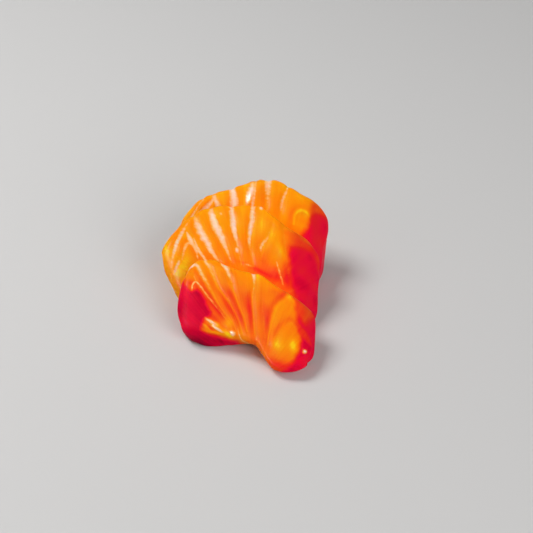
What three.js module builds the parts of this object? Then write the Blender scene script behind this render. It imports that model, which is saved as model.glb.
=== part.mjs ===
// Salmon sashimi: three thick raw slices that lean on each other like fallen dominoes.
// Millimetres, +Z up. The slices run left to right along X and lean away from the front, which is -Y.
import * as THREE from "three";

// A slice is a slab with five long corners. Seen from its end, they are in order:
// heel (back of the foot), toe (front of the foot), ridge, crest and shoulder.
// Between ridge and crest is the sloping cut face, and the shoulder is behind the crest.
const AIR = 0.3; // left between two slices that touch
const MID_HEIGHT = 15; // the height at which a cut face is placed
const NARROWEST_FOOT = 2.5;
const RIM = 2.2; // rounding of both ends of a slice, measured into the flesh
const RIM_LENGTH = 3.8; // and along the slice
const RIM_START = THREE.MathUtils.degToRad(25); // turn of that rounding where it meets the swelling end
const END_BULGE = 1.4; // how far the flesh swells out of an end
const TAPER_REACH = 8; // how far from an end the slice starts to get thinner
const END_THINNER = 0.24; // how much thinner it is at its very end
const END_LOWER = 0.07; // and how much lower
const TAPER_DEPTH = 0.93; // how far round its quarter ellipse that taper goes
const ROUNDING = [2.4, 2.0, 3.4, 3.0, 3.4]; // at heel, toe, ridge, crest and shoulder
const END_ROUNDER = 1.3; // how much rounder, as a share, those are at an end
const GROOVE = 0.85; // deepest groove between two flakes, on the crest
const FACE_SHARE = 0.35; // of that depth, on the cut face

// Steps of the surface
const BODY_ROWS = 44;
const RIM_ROWS = 4;
const CAP_ROWS = 2;
const CORNER_STEPS = 3;
const EDGE_STEPS = [1, 1, 9, 2, 5]; // on the foot, the lower side, the face, the top and the back

// The flake sheets run through the flesh along one direction, tilted down by this angle.
const GRAIN = THREE.MathUtils.degToRad(40);

// Cut faces: where each stands at mid height, its lean, and the heights of its lower and upper edge.
const FRONT_FACE = {
  lean: 36,
  trace: [[-27, 7.0], [-12, 3.2], [0, -1.0], [13.5, -6.4], [25, -10.5]],
  ridge: [[-27, 8.6], [0, 8.6], [3.1, 8.3], [5.2, 6.5], [7.8, 4.6], [11, 4.1], [15.6, 4.6], [20, 5.5], [25, 5.4]],
  crest: [
    [-27, 20.5], [-23, 24.3], [-18, 26.0], [-12, 26.0], [-6, 25.0],
    [4, 25.3], [7.8, 24.2], [11.7, 23.2], [16, 22.4], [20, 21.8], [25.5, 20.6],
  ],
};
const MIDDLE_FACE = {
  lean: 40,
  trace: [[-36, 26.0], [-12, 20.7], [0, 16.9], [13.5, 11.7], [26, 7.0]],
  ridge: [[-36, 8.6], [26, 8.0]],
  crest: [
    [-36.6, 20.6], [-32, 24.6], [-26, 29.0], [-18, 32.8], [-8, 34.4],
    [4.2, 36.0], [9.5, 34.0], [15.5, 31.3], [20, 31.0], [24.5, 31.0], [28.5, 29.6],
  ],
};
const BACK_FACE = {
  lean: 45,
  trace: [[-29, 38.5], [0, 33.5], [13.5, 31.0], [32, 27.5]],
  ridge: [[-29, 8.0], [32, 8.0]],
  crest: [
    [-29, 24.0], [-24, 28.4], [-18, 31.6], [-9, 34.2], [0, 36.9],
    [6, 38.2], [11, 38.3], [18, 36.0], [25, 34.1], [32, 31.6],
  ],
};

// Both ends of a slice give the X of its heel, toe, ridge, crest and shoulder.
// Its undercut is how far the toe is behind the ridge, and its lift is how high the foot arches off the surface.
const FRONT_SLICE = {
  name: "slice_front",
  face: FRONT_FACE,
  behind: MIDDLE_FACE,
  left: [-27, -24, -27.2, -27.2, -26.5],
  right: [25.2, 20.2, 21.2, 20.2, 26.3],
  undercut: [
    [-27, 2.4], [-22, 1.3], [-17, 0.7], [-12, 1.8], [-7, 4.4], [0, 6.6],
    [6, 5.8], [12, 4.6], [16, 5.6], [20, 6.0], [25, 5.4],
  ],
  lift: [[-27, 0], [-7, 0], [-3, 0.7], [0, 1.5], [3, 2.2], [4.7, 1.2], [7, 0], [25, 0]],
  flakes: frontFlakes,
  color: 0xf5812a,
};
const MIDDLE_SLICE = {
  name: "slice_middle",
  face: MIDDLE_FACE,
  behind: BACK_FACE,
  left: [-28.5, -27.5, -28, -36.6, -35.5],
  right: [28.4, 24, 17.4, 16.6, 29.5],
  undercut: [[-36, 6.0], [26, 6.0]],
  flakes: middleFlakes,
  color: 0xf78a2c,
};
const BACK_SLICE = {
  name: "slice_back",
  face: BACK_FACE,
  behind: null,
  thickness: 10.5,
  heel: [[-29, 50], [0, 50], [12, 48], [33, 42]],
  left: [-27, -27, -28, -28.8, -28],
  right: [31, 26, 26, 25, 32.6],
  undercut: [[-36, 4.0], [26, 4.0]],
  flakes: backFlakes,
  color: 0xf98f2d,
};

// A smooth curve through [x, value] points, straight beyond its ends.
function curve(points, x) {
  const last = points.length - 1;
  const chord = (i) => (points[i + 1][1] - points[i][1]) / (points[i + 1][0] - points[i][0]);
  const slope = (i) => {
    if (i === 0) return chord(0);
    if (i === last) return chord(last - 1);
    const before = points[i][0] - points[i - 1][0];
    const after = points[i + 1][0] - points[i][0];
    return (chord(i - 1) * after + chord(i) * before) / (before + after);
  };
  let i = 0;
  while (i < last - 1 && x > points[i + 1][0]) i += 1;
  const width = points[i + 1][0] - points[i][0];
  const t = (x - points[i][0]) / width;
  if (t < 0) return points[0][1] + t * width * slope(0);
  if (t > 1) return points[last][1] + (t - 1) * width * slope(last);
  const rise = points[i][1] * (2 * t ** 3 - 3 * t ** 2 + 1) + points[i + 1][1] * (3 * t ** 2 - 2 * t ** 3);
  return rise + width * (slope(i) * (t ** 3 - 2 * t ** 2 + t) + slope(i + 1) * (t ** 3 - t ** 2));
}

const mix = (a, b, t) => a + (b - a) * t;
const smoothstep = THREE.MathUtils.smoothstep;
const softMin = (a, b) => -0.35 * Math.log(Math.exp(-a / 0.35) + Math.exp(-b / 0.35));

// Y of a leaning cut face at x and at a height.
function depthAt(face, x, height) {
  return curve(face.trace, x) + (height - MID_HEIGHT) / Math.tan(THREE.MathUtils.degToRad(face.lean));
}

// The point of a face's crest above x, as [y, z].
function crestAt(face, x) {
  const height = curve(face.crest, x);
  return [depthAt(face, x, height), height];
}

// The flake number: whole numbers of it are the fat lines.
// A fan of lines spreads from a point below the face, and bends over into arches near the left end.
function fan(x, v, originX, originV) {
  return THREE.MathUtils.radToDeg(Math.atan2(originX - x, v - originV));
}

function frontFlakes(x, v) {
  const turn = (fan(x, v, 2.7, -7.8) - 2) / 36.7;
  const rays = Math.sign(turn) * 5 * Math.abs(turn) ** 2.3;
  const arches = 3 + ((x + 21.5) * 0.751 - (v - 30.4) * 0.657) / 1.95;
  const lobeX = 13.65 + (v + 3.1) * 0.12;
  const lobe = -1 + (Math.hypot((x - lobeX) / 4.9, (v + 3.1) / 11.7) - 1.85) / 0.85;
  return mix(softMin(rays, arches), lobe, smoothstep(x, 1.6, 7));
}

function middleFlakes(x, v) {
  const rays = fan(x, v, 0, 14) / 11.3;
  const arches = 3 + ((x + 29.25) * 0.88 - (v - 35.9) * 0.472) / 3.5;
  const bands = -(x - 0.4 + 0.12 * (v - 39.8)) / 4.3;
  return mix(softMin(rays, arches), bands, smoothstep(x, 2, 8));
}

function backFlakes(x, v) {
  const skew = 0.2 + 0.035 * Math.max(0, -x - 6);
  return (x + 13.65 - skew * (v - 57.3)) / 7;
}

// How high a slice's foot is above the surface at x.
function liftAt(slice, x) {
  return slice.lift ? Math.max(0, curve(slice.lift, x)) : 0;
}

// The five corners of a slice at a share t of its length, as [x, y, z].
function corners(slice, t) {
  const [heelX, toeX, ridgeX, crestX, shoulderX] = slice.left.map((x, k) => mix(x, slice.right[k], t));
  const rear = slice.behind ?? slice.face;
  const lean = THREE.MathUtils.degToRad(rear.lean);
  const up = [Math.cos(lean), Math.sin(lean)];
  const out = [-up[1], up[0]];
  const top = crestAt(slice.face, shoulderX);
  const heelZ = liftAt(slice, heelX);
  const toeZ = liftAt(slice, toeX);
  let heelY;
  let shoulder;
  if (slice.behind) {
    // The back lies flat on the face of the slice behind it.
    const base = [depthAt(rear, shoulderX, 0) + AIR * out[0], AIR * out[1]];
    const along = (top[0] - base[0]) * up[0] + (top[1] - base[1]) * up[1];
    shoulder = [base[0] + along * up[0], base[1] + along * up[1]];
    heelY = depthAt(rear, heelX, heelZ) + AIR * out[0];
  } else {
    shoulder = [top[0] - slice.thickness * out[0], top[1] - slice.thickness * out[1]];
    heelY = curve(slice.heel, heelX);
  }
  const toeFromRidge = depthAt(slice.face, toeX, curve(slice.face.ridge, toeX)) + curve(slice.undercut, toeX);
  const toeY = Math.min(toeFromRidge, heelY - NARROWEST_FOOT);
  const ridgeZ = curve(slice.face.ridge, ridgeX);
  return [
    [heelX, heelY, heelZ],
    [toeX, toeY, toeZ],
    [ridgeX, depthAt(slice.face, ridgeX, ridgeZ), ridgeZ],
    [crestX, ...crestAt(slice.face, crestX)],
    [shoulderX, ...shoulder],
  ];
}

const meanOf = (points) => [0, 1, 2].map((k) => points.reduce((sum, p) => sum + p[k], 0) / points.length);

// How fast X grows with Y and with Z over a section, by the plane that fits its corners best.
function slantOf(section) {
  const middle = meanOf(section);
  const arms = section.map((p) => p.map((value, k) => value - middle[k]));
  const sum = (i, j) => arms.reduce((total, arm) => total + arm[i] * arm[j], 0);
  const square = sum(1, 1) * sum(2, 2) - sum(1, 2) ** 2;
  return [
    (sum(0, 1) * sum(2, 2) - sum(0, 2) * sum(1, 2)) / square,
    (sum(0, 2) * sum(1, 1) - sum(0, 1) * sum(1, 2)) / square,
  ];
}

// Moves each side of the five-sided section inward, in the section's own plane.
function inset(section, distance) {
  const slant = slantOf(section);
  const count = section.length;
  const sides = section.map((p, k) => {
    const q = section[(k + 1) % count];
    const length = Math.hypot(q[1] - p[1], q[2] - p[2]);
    const e = [(q[1] - p[1]) / length, (q[2] - p[2]) / length];
    return { e, p: [p[1] + e[1] * distance, p[2] - e[0] * distance] };
  });
  return section.map((point, k) => {
    const a = sides[(k + count - 1) % count];
    const b = sides[k];
    const cross = a.e[0] * b.e[1] - a.e[1] * b.e[0];
    const t = ((b.p[0] - a.p[0]) * b.e[1] - (b.p[1] - a.p[1]) * b.e[0]) / cross;
    const y = a.p[0] + a.e[0] * t;
    const z = a.p[1] + a.e[1] * t;
    return [point[0] + slant[0] * (y - point[1]) + slant[1] * (z - point[2]), y, z];
  });
}

const distance = (p, q) => Math.hypot(q[0] - p[0], q[1] - p[1], q[2] - p[2]);
const between = (p, q, t) => p.map((value, k) => mix(value, q[k], t));

// The section as one closed loop with rounded corners. Each point keeps its share of the groove depth.
function roundedLoop(section, scale) {
  const count = section.length;
  const ends = section.map((p, k) => {
    const before = section[(k + count - 1) % count];
    const after = section[(k + 1) % count];
    const room = 0.45 * Math.min(distance(p, before), distance(p, after));
    const r = Math.min(ROUNDING[k] * scale, room);
    return [between(p, before, r / distance(p, before)), between(p, after, r / distance(p, after))];
  });
  const shareAt = [0, 0.15, FACE_SHARE, 1, 0.5];
  const loop = [];
  section.forEach((corner, k) => {
    const [enter, leave] = ends[k];
    for (let j = 0; j < CORNER_STEPS; j += 1) {
      const t = j / (CORNER_STEPS - 1);
      const at = between(between(enter, corner, t), between(corner, leave, t), t);
      loop.push({ at, share: shareAt[k] });
    }
    const next = (k + 1) % count;
    for (let j = 1; j <= EDGE_STEPS[k]; j += 1) {
      const t = j / (EDGE_STEPS[k] + 1);
      const bend = k === 2 ? t ** 4 : t;
      loop.push({ at: between(leave, ends[next][0], t), share: mix(shareAt[k], shareAt[next], bend) });
    }
  });
  return loop;
}

// Makes a loop thinner across its cut face and lower along it, in its own plane, by this share of the most.
function narrowed(slice, loop, section, amount) {
  const lean = THREE.MathUtils.degToRad(slice.face.lean);
  const up = [Math.cos(lean), Math.sin(lean)];
  const middle = meanOf(section);
  const slant = slantOf(section);
  return loop.map(({ at, share }) => {
    const arm = [at[1] - middle[1], at[2] - middle[2]];
    const across = (arm[0] * up[1] - arm[1] * up[0]) * END_THINNER * amount;
    const along = (arm[0] * up[0] + arm[1] * up[1]) * END_LOWER * amount;
    const y = -across * up[1] - along * up[0];
    const z = across * up[0] - along * up[1];
    return { at: [at[0] + slant[0] * y + slant[1] * z, at[1] + y, at[2] + z], share };
  });
}

// All loops of a slice from its left end to its right end.
function sliceRows(slice) {
  const length = Math.min(...slice.right.map((x, k) => x - slice.left[k]));
  const stations = [];
  for (let i = 0; i < RIM_ROWS; i += 1) {
    const turn = mix(RIM_START, Math.PI / 2, i / RIM_ROWS);
    const along = RIM_LENGTH * (Math.cos(RIM_START) - Math.cos(turn));
    stations.push({ t: along / length, inward: RIM * (1 - Math.sin(turn)) });
  }
  const mirrored = stations.map(({ t, inward }) => ({ t: 1 - t, inward })).reverse();
  const margin = (RIM_LENGTH * Math.cos(RIM_START)) / length;
  for (let i = 0; i < BODY_ROWS; i += 1) {
    stations.push({ t: mix(margin, 1 - margin, i / (BODY_ROWS - 1)), inward: 0 });
  }
  stations.push(...mirrored);
  const rows = stations.map(({ t, inward }) => {
    const plain = corners(slice, t);
    const near = Math.max(0, 1 - (Math.min(t, 1 - t) * length) / TAPER_REACH);
    const loop = roundedLoop(inset(plain, inward), 1 + END_ROUNDER * smoothstep(near, 0, 1));
    return narrowed(slice, loop, plain, 1 - Math.sqrt(1 - (TAPER_DEPTH * near) ** 2));
  });
  const leftCap = capRows(rows[0], -1);
  const rightCap = capRows(rows[rows.length - 1], 1).reverse();
  return [...leftCap, ...rows, ...rightCap];
}

// Loops that shrink towards the middle of an end, which swells outward a little.
function capRows(rim, side) {
  const middle = meanOf(rim.map((p) => p.at));
  const rows = [];
  for (let j = 0; j <= CAP_ROWS; j += 1) {
    const share = j / (CAP_ROWS + 1);
    rows.push(
      rim.map((p) => {
        const at = between(middle, p.at, share);
        at[0] += side * END_BULGE * (1 - share * share);
        return { at, share: 0 };
      }),
    );
  }
  rows[0] = [rows[0][0]];
  return rows;
}

// Outward direction at a point of the rows, from its neighbours.
function outward(rows, i, j) {
  const n = rows[i].length;
  const a = new THREE.Vector3(...rows[i + 1][j].at).sub(new THREE.Vector3(...rows[i - 1][j].at));
  const b = new THREE.Vector3(...rows[i][(j + 1) % n].at).sub(new THREE.Vector3(...rows[i][(j + n - 1) % n].at));
  return a.cross(b).normalize();
}

// Presses the grooves between the flakes into the surface.
function groovedRows(slice, rows) {
  return rows.map((row, i) =>
    row.map(({ at, share }, j) => {
      if (share === 0) return at;
      const v = at[1] * Math.sin(GRAIN) + at[2] * Math.cos(GRAIN);
      const pillow = 1 - Math.abs(Math.sin(Math.PI * slice.flakes(at[0], v))) ** 0.6;
      const n = outward(rows, i, j);
      const depth = GROOVE * share * pillow;
      return [at[0] - n.x * depth, at[1] - n.y * depth, at[2] - n.z * depth];
    }),
  );
}

function sliceGeometry(slice) {
  const rows = groovedRows(slice, sliceRows(slice));
  const triangles = [];
  const add = (a, b, c) => triangles.push(...a, ...b, ...c);
  for (let i = 0; i + 1 < rows.length; i += 1) {
    const near = rows[i];
    const far = rows[i + 1];
    const n = Math.max(near.length, far.length);
    for (let j = 0; j < n; j += 1) {
      const k = (j + 1) % n;
      if (near.length === 1) add(near[0], far[j], far[k]);
      else if (far.length === 1) add(near[j], far[0], near[k]);
      else {
        add(near[j], far[j], near[k]);
        add(near[k], far[j], far[k]);
      }
    }
  }
  const geometry = new THREE.BufferGeometry();
  geometry.setAttribute("position", new THREE.Float32BufferAttribute(triangles, 3));
  geometry.computeVertexNormals();
  return geometry;
}

const group = new THREE.Group();
group.name = "salmon_sashimi";
for (const slice of [BACK_SLICE, MIDDLE_SLICE, FRONT_SLICE]) {
  const flesh = new THREE.MeshStandardMaterial({ color: slice.color, roughness: 0.25, metalness: 0 });
  const mesh = new THREE.Mesh(sliceGeometry(slice), flesh);
  mesh.name = slice.name;
  group.add(mesh);
}

// The origin is under the middle of the whole, on the surface it rests on.
const box = new THREE.Box3().setFromObject(group);
const middle = box.getCenter(new THREE.Vector3());
for (const mesh of group.children) {
  mesh.geometry.translate(-middle.x, -middle.y, -box.min.z);
}

export default group;
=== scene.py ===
"""Salmon sashimi: three thick raw slices that lean on each other like fallen dominoes.

The shapes are worked out in millimetres in the slices' own design frame, where X runs along the slices and
Y goes back the way they lean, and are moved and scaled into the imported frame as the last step.
"""
import sys

import logging
import math
from collections.abc import Mapping
from dataclasses import dataclass
from enum import Enum
from types import MappingProxyType

import bpy
import numpy as np
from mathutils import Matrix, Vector
from numpy.typing import NDArray


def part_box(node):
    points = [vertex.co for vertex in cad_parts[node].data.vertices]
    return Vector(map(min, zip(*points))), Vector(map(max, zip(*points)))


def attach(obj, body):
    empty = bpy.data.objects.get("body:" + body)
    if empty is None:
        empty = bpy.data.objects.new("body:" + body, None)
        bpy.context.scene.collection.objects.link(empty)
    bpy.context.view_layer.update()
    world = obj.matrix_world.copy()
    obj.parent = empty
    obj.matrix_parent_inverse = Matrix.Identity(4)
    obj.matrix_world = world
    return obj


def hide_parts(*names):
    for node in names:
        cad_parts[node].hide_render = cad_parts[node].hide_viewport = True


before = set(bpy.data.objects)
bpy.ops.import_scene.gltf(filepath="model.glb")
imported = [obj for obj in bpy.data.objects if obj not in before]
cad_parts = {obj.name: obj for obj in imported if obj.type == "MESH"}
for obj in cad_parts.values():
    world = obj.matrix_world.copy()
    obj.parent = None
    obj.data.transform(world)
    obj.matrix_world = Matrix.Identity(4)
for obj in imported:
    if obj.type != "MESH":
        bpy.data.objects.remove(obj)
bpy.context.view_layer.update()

Array = NDArray[np.float64]
Flat = NDArray[np.complex128]  # points of a cut face, as X + 1j times the distance up the face
Pair = tuple[float, float]
Triple = tuple[float, float, float]
Stops = tuple[tuple[float, tuple[int, int, int]], ...]
Values = Mapping[str | int, object]
NONE: Values = MappingProxyType({})

log = logging.getLogger("sashimi")

METRES = 0.001  # in a millimetre
DESIGN_MIDDLE = (-1.994, 21.009)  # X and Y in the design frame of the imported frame's origin
SLICES_MIDDLE = Vector((0.0, 0.0, 0.02))  # in metres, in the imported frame
ORIGIN, DOWN = Vector((0.0, 0.0, 0.0)), Vector((0.0, 0.0, -1.0))

# How a slice is built
AIR = 0.3  # left between two slices that touch
MID_HEIGHT = 15.0  # the height at which a cut face is placed
NARROWEST_FOOT = 2.5
THICKNESS = 10.5  # of a slice that stands by itself
RIM, RIM_LENGTH = 2.2, 3.8  # rounding of both ends, measured into the flesh and along the slice
RIM_START = math.radians(25)  # how far the rim's quarter round has turned where it meets the swelling end
END_BULGE = 1.4  # how far the flesh swells out of an end
TAPER = (0.24, 0.07)  # how much thinner and lower a whole quarter ellipse makes an end
TAPER_REACH, TAPER_DEPTH = 8.0, 0.93  # where that ellipse starts, and the share of it that is used
ROUNDING = (2.4, 2.0, 3.4, 3.0, 3.4)  # at heel, toe, ridge, crest and shoulder
END_ROUNDER, MOST_ROUNDING = 1.3, 0.45  # how much more at an end, and the share of a side that it may take
GRAIN = math.radians(40)  # how steeply the grain of the flesh runs down
BODY_STEPS, RIM_STEPS, CAP_STEPS, CORNER_STEPS = 250, 12, 14, 15
SIDE_STEPS = (10, 14, 128, 22, 56)  # on the foot, the lower side, the face, the top and the back
FACE_SIDE = 2

# Its relief and colours. A pair says where something is gone and where it is full.
GROOVE = 0.55  # the deepest groove along a line of fat
GROOVE_SHARE = (0.0, 0.25, 0.4, 1.0, 0.6)  # of that depth, at the five corners
GROOVE_WIDTH = (1.0, 0.3)  # half of it, and the share of the line's half width on top
LINE_STEPS = 5  # from each point of a line to the next
WAVE, FINE_WAVE, SWELL = 9.0, 2.6, 0.16  # lengths of the ripples, and height of the longer ones
FINE_SEED = 50  # added to a slice's seed for the fine ripples
HUE_WAVES = (0.035, 0.04, 0.03)  # how much they move the hue of the flesh, of the painted ends and of the painted shade areas
SHADE_EDGE_WAVES = (0.2, 0.3)  # how far they bend the edge of a painted shade area, sideways and upwards
FRAY, LINE_EDGE = 0.1, (1.6, 0.1)  # of a line of fat, in half widths
FLANK = (0.8, 1.1)  # how far beside a line the painted shading along its side lies, and how wide
FLANK_START, FLANK_END, FLANK_LOSS = (0.0, 0.3), (0.65, 1.0), 0.7  # how it grows and is lost along the line
PATCH_DEPTH, LEVEL_FADE = (7.0, 5.0), (0.4, 2.5)  # of patches behind the face, and of the relief above Z = 0
END_FADE, UNDER_SHADE = (0.8, 0.4), (0.02, -0.2)  # of the painted light and shade of an end, and of the painted shade of the underside
END_LEAN, UNDER_LEAN = 0.8, 0.9  # share of the fat that is missing there
STRAND_HEIGHT = 25.0  # where a strand of the flesh is 1 mm wide
HUE_TOP = 1.1  # share of the height from ridge to crest where the hue's curve ends


def mix(a: Array | float, b: Array | float, t: Array | float) -> Array | float:
    """Goes straight from a to b as t goes from 0 to 1."""
    return a + (b - a) * t


def smoothstep(low: float, high: float, x: Array) -> Array:
    """Rises smoothly from 0 to 1 as x goes from low to high, or falls if low is above high."""
    t = np.clip((x - low) / (high - low), 0.0, 1.0)
    return t * t * (3.0 - 2.0 * t)


class Curve:
    """A smooth curve through (x, value) points, straight beyond its ends.

    Between points it is a cubic Hermite curve whose slopes are the neighbouring chords, weighted by length.
    """

    def __init__(self, *points: Pair) -> None:
        """Works out the slopes at (x, value) pairs in rising x."""
        self.x, self.value = np.array(points, float).T
        width = np.diff(self.x)
        chord = np.diff(self.value) / width
        inner = (chord[:-1] * width[1:] + chord[1:] * width[:-1]) / (width[1:] + width[:-1])
        self.slope = np.concatenate([chord[:1], inner, chord[-1:]])

    def __call__(self, x: Array) -> Array:
        """Returns the curve's value at each x."""
        x = np.asarray(x, float)
        i = np.clip(np.searchsorted(self.x, x) - 1, 0, len(self.x) - 2)
        width = self.x[i + 1] - self.x[i]
        raw = (x - self.x[i]) / width
        t = np.clip(raw, 0.0, 1.0)
        rise = mix(self.value[i], self.value[i + 1], 3 * t**2 - 2 * t**3)
        bend = self.slope[i] * (t**3 - 2 * t**2 + t) + self.slope[i + 1] * (t**3 - t**2)
        beyond = self.slope[0] * np.minimum(raw, 0.0) + self.slope[-1] * np.maximum(raw - 1, 0.0)
        return rise + width * (bend + beyond)


@dataclass(frozen=True)
class CutFace:
    """A sloping cut face, a sheet that leans back by one angle all the way along.

    Attributes:
        lean: degrees above the level surface.
        trace: Y at mid height, against X.
        ridge: height of its lower edge, against X.
        crest: height of its upper edge, against X.
    """

    lean: float
    trace: Curve
    ridge: Curve
    crest: Curve

    @property
    def upward(self) -> Pair:
        """Y and Z of the direction straight up the face."""
        return math.cos(math.radians(self.lean)), math.sin(math.radians(self.lean))

    def depth(self, x: Array, height: Array | float) -> Array:
        """Returns Y of the face at x and a height: the trace, moved back by the height over the slope."""
        return self.trace(x) + (height - MID_HEIGHT) / math.tan(math.radians(self.lean))

    def flat(self, x: Array | float, height: Array | float) -> Flat:
        """Returns the points of the face above x that have this height."""
        return x + 1j * height / self.upward[1]

    def edge_point(self, edge: Curve, x: Array) -> Array:
        """Returns (Y, Z) of the ridge or crest above x."""
        height = edge(x)
        return np.stack([self.depth(x, height), height], -1)


@dataclass(frozen=True)
class FatLine:
    """A line of fat on a cut face, a smooth curve through (x, height) points.

    Attributes:
        points: from its upper end to its lower end.
        width: across it, at even steps along it.
        pale: 1 for whitish fat and 0 for none, at even steps too.
        redder: how far the line itself moves the flesh's hue.
        flank_shade: the same for the flesh on its right and on its left, going down it: painted shade where
            it is redder and painted light where it is more golden, for the step of each flake.
        groove: depth of the groove it lies in, as a share of the deepest, or below 0 for a ridge.
    """

    points: tuple[Pair, ...]
    width: tuple[float, ...]
    pale: tuple[float, ...]
    redder: float = 0.0
    flank_shade: Pair = (0.07, -0.04)
    groove: float = 1.0


@dataclass(frozen=True)
class Patch:
    """A soft oval on a cut face that changes its colour or its relief.

    Attributes:
        x: of its centre.
        height: of its centre.
        across: half its width.
        up: half its height, measured on the face.
        redder: how far it moves the flesh's hue, below 0 towards gold; some patches paint shade with it and
            some paint light.
        turn: degrees that it is turned, from +X towards the crest.
        rise: millimetres that it swells out.
        pale: how much fat it shows, and in the patches that stand for glints, how white the painted highlight
            is.
        wet: how much more of the glossy film it has.
    """

    x: float
    height: float
    across: float
    up: float
    redder: float = 0.0
    turn: float = 0.0
    rise: float = 0.0
    pale: float = 0.0
    wet: float = 0.0

    def amount(self, face: CutFace, at: Flat) -> Array:
        """Returns 1 in the middle, falling to 0 like a bell curve, half gone at the rim."""
        arm = (at - face.flat(self.x, self.height)) * np.exp(-1j * math.radians(self.turn))
        return 0.5 ** ((arm.real / self.across) ** 2 + (arm.imag / self.up) ** 2)


def follow(path: Flat, at: Flat) -> tuple[Array, Array, Array]:
    """Finds the place on a path that is nearest to each point.

    Args:
        path: its corners.
        at: the points.

    Returns:
        The distance, the share of the path's length before that place, and the side of it that the point is
        on, +1 for the right and -1 for the left.
    """
    nearest, along, side = np.full(at.shape, np.inf), np.zeros(at.shape), np.zeros(at.shape)
    length = np.abs(np.diff(path))
    before = np.cumsum(length) - length
    for i, step in enumerate(np.diff(path) / length):
        arm = (at - path[i]) * step.conj()
        t = np.clip(arm.real, 0.0, length[i])
        distance = np.abs(arm - t)
        closer = distance < nearest
        nearest = np.where(closer, distance, nearest)
        along = np.where(closer, (before[i] + t) / length.sum(), along)
        side = np.where(closer, -np.sign(arm.imag), side)
    return nearest, along, side


@dataclass(frozen=True)
class PaintedShade:
    """An area of painted shade on a cut face, with one hue, smooth and without fat: flesh turned away from
    the light, or lying in a cast shadow.

    Attributes:
        hue: inside it.
        soft: millimetres over which its edge fades.
        outline: its corners in order, as x and height.
    """

    hue: float
    soft: float
    outline: tuple[Pair, ...]

    def amount(self, face: CutFace, at: Flat) -> Array:
        """Returns 1 well inside, where the outline turns once round a point, and 0 well outside."""
        corners = np.array([face.flat(*corner) for corner in (*self.outline, self.outline[0])])
        turned = sum(np.angle((b - at) / (a - at)) for a, b in zip(corners, corners[1:]))
        nearest = follow(corners, at)[0]
        return smoothstep(-self.soft, self.soft, np.where(np.abs(turned) > math.pi, nearest, -nearest))


class End(Enum):
    """The two ends of a slice, as the direction they face along X."""

    LEFT = -1
    RIGHT = 1


@dataclass
class Surface:
    """A slice's surface as rows of closed loops, from its left end to its right end, in millimetres.

    Attributes:
        at: the points, (rows, around, 3).
        share: share of the groove depth that each point takes.
        inside: (rows, 1) millimetres from the nearer end, 0 on the caps.
        nearer: (rows, 1), -1 where that is the left end and +1 where it is the right.
    """

    at: Array
    share: Array
    inside: Array
    nearer: Array

    def outward(self) -> Array:
        """Returns the unit normals, the cross product of the steps along the slice and around it."""
        along = np.gradient(self.at, axis=0)
        around = np.roll(self.at, -1, 1) - np.roll(self.at, 1, 1)
        normal = np.cross(along, around)
        length = np.linalg.norm(normal, axis=-1, keepdims=True)
        return normal / np.maximum(length, 1e-9)


@dataclass
class Skin:
    """What is worked out for each point of a surface besides its place.

    Attributes:
        relief: millimetres outwards.
        hue: 0 for gold, 0.5 for deep orange, 1 for dark crimson; its change with height and its crimson areas
            are painted light and shade.
        fat: 0 for plain flesh, 1 for whitish fat, and also the white of painted highlights.
        groove: depth of the groove along the fat, as a share of the deepest there.
        wet: 0 for the usual glossy film, 1 for a drop of it.
        strand: grows across the flesh's strands and stays the same along each of them.
    """

    relief: Array
    hue: Array
    fat: Array
    groove: Array
    wet: Array
    strand: Array


class Ripples:
    """Gentle uneven waves in space, a sum of sines of one wavelength in random directions."""

    def __init__(self, seed: int, wavelength: float, waves: int = 7) -> None:
        """Draws this many waves, with a wavelength in millimetres."""
        rng = np.random.default_rng(seed)
        direction = rng.normal(size=(waves, 3))
        direction /= np.linalg.norm(direction, axis=1, keepdims=True)
        self.turns = direction * (2 * math.pi / wavelength) * rng.uniform(0.7, 1.3, (waves, 1))
        self.phase = rng.uniform(0, 2 * math.pi, waves)

    def __call__(self, at: Array) -> Array:
        """Returns the waves' height at each point, about -1 to 1."""
        total = sum(np.sin(at @ turn + phase) for turn, phase in zip(self.turns, self.phase))
        return total / math.sqrt(len(self.phase))


def add_object(name: str, data: bpy.types.ID, at: Vector = ORIGIN, look: Vector = DOWN) -> bpy.types.Object:
    """Adds an object to the scene, at a place and with its -Z along a direction."""
    thing = bpy.data.objects.new(name, data)
    thing.location = at
    thing.rotation_euler = look.to_track_quat("-Z", "Y").to_euler()
    bpy.context.scene.collection.objects.link(thing)
    return thing


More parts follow.
